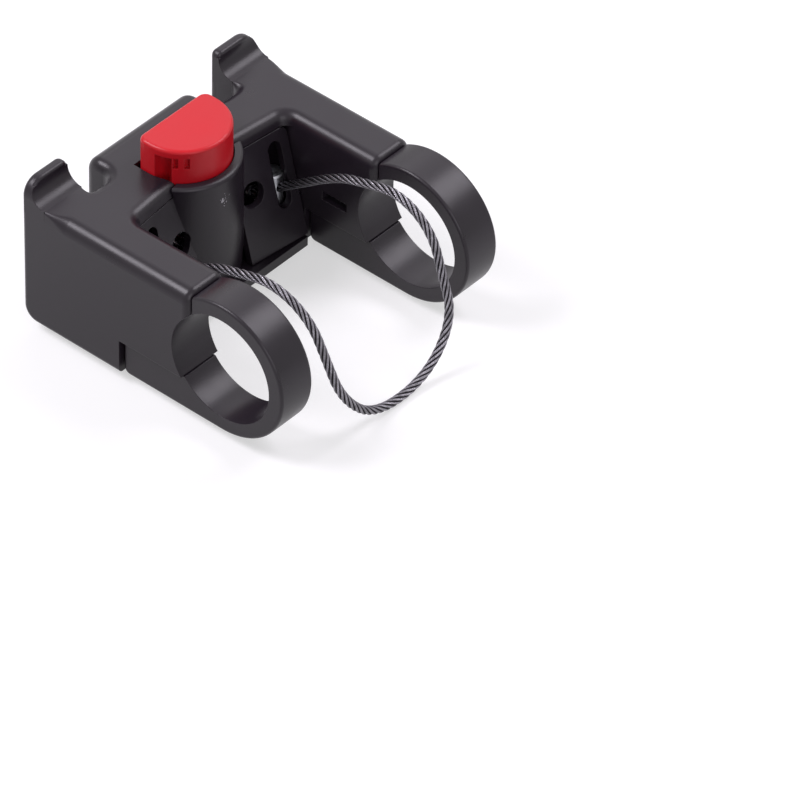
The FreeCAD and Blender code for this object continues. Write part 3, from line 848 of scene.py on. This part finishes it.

# %% [markdown]
# ## Light crowns and dark valleys
# The valleys between the strands are painted dark, partly as oil and dirt and
# partly as painted shade where the strands shade one another. The crowns are
# painted pale, partly as rubbed metal and partly as a painted highlight. The
# distance from the rope's middle tells the two apart. Wear isn't even, so a
# noise of about 1.6 mm dulls some of the crowns again.

# %% Crowns and valleys
VALLEY = 0.80 * ROPE_R
CROWN = 0.97 * ROPE_R
WEAR = 1.6


def crown_sheen_and_wear(material, laid, parts):
    flat = add_node(material, "ShaderNodeCombineXYZ", inputs={
        "X": parts.outputs["X"], "Y": parts.outputs["Y"]})
    reach = add_node(material, "ShaderNodeVectorMath", {"operation": "LENGTH"}, {
        0: flat.outputs["Vector"]})
    crown = add_node(material, "ShaderNodeMapRange", {"clamp": True}, {
        "Value": reach.outputs["Value"], "From Min": VALLEY, "From Max": CROWN})
    wear = add_node(material, "ShaderNodeTexNoise", inputs={
        "Vector": laid, "Scale": 1 / (WEAR * MM), "Detail": 4.0, "Roughness": 0.7})
    worn = add_node(material, "ShaderNodeMapRange", {"clamp": True}, {
        "Value": wear.outputs["Fac"], "From Min": 0.35, "From Max": 0.65,
        "To Min": 0.45, "To Max": 1.0})
    sheen_and_wear = add_node(material, "ShaderNodeMath", {"operation": "MULTIPLY"}, {
        0: crown.outputs["Result"], 1: worn.outputs["Result"]})
    return sheen_and_wear.outputs[0]


print("valley and crown mm", round(VALLEY / MM, 2), round(CROWN / MM, 2))

# %% [markdown]
# ## Laid steel wire rope
# The two patterns meet in one metal. Its crowns are pale and smooth and its
# valleys dark and rough, with painted highlight and painted shade mixed into
# that colour, and the wires are a bump. Together they give the eye the twisted
# sparkle of a wire rope.

# %% Rope finish
WIRE_DEPTH = 0.05


def rope_finish(name):
    material = new_material(name)
    straight = add_node(material, "ShaderNodeAttribute", {"attribute_name": "straight"})
    laid = straight.outputs["Vector"]
    parts = add_node(material, "ShaderNodeSeparateXYZ", inputs={"Vector": laid})
    sheen_and_wear = crown_sheen_and_wear(material, laid, parts)
    # Painted shade in the valleys and painted highlight on the crowns, mixed with oil, dirt
    # and wear.
    colour = add_node(material, "ShaderNodeMix", {"data_type": "RGBA"}, {
        "Factor": sheen_and_wear, "A": srgb("#151316"), "B": srgb("#9F9CA3")})
    gloss = add_node(material, "ShaderNodeMapRange", inputs={
        "Value": sheen_and_wear, "To Min": 0.55, "To Max": 0.24})
    bump = add_node(material, "ShaderNodeBump", inputs={
        "Height": wire_lines(material, parts), "Strength": 0.8, "Distance": WIRE_DEPTH * MM})
    shader = add_node(material, "ShaderNodeBsdfPrincipled", inputs={
        "Base Color": colour.outputs["Result"], "Roughness": gloss.outputs["Result"],
        "Normal": bump.outputs["Normal"], "Metallic": 1.0})
    add_node(material, "ShaderNodeOutputMaterial", inputs={"Surface": shader.outputs["BSDF"]})
    return material


rope_steel = rope_finish("laid steel wire rope")
print("nodes in the rope's finish", len(rope_steel.node_tree.nodes))

# %% [markdown]
# ## Handing out the finishes
# The record gives each CAD piece a material slot, so one table finishes them
# all, and a piece that is added later is finished too. Only the inner plate,
# which bears the pale flecks, gets its own. The new pieces take the finish of
# the slot that they stand for.

# %% Give each piece its finish
FINISHES = {
    "black_nylon": black_nylon,
    "red_nylon": red_nylon,
    "spring_steel": spring_wire,
    "steel_cable": rope_steel,
    "zinc_steel": zinc,
    "aluminium": pressed_aluminium,
}
subparts = frame["record"]["subparts"]
for entry in subparts:
    node = nodes[entry["node"]]
    node.data.materials.clear()
    node.data.materials.append(FINISHES[entry["material_slot"]])
nodes["inner_plate"].data.materials[0] = flecked_nylon
rope.data.materials.append(rope_steel)
spring.data.materials.append(spring_wire)
for blend in blends:
    blend.data.materials.append(black_nylon)
print("finished nodes", len(subparts))
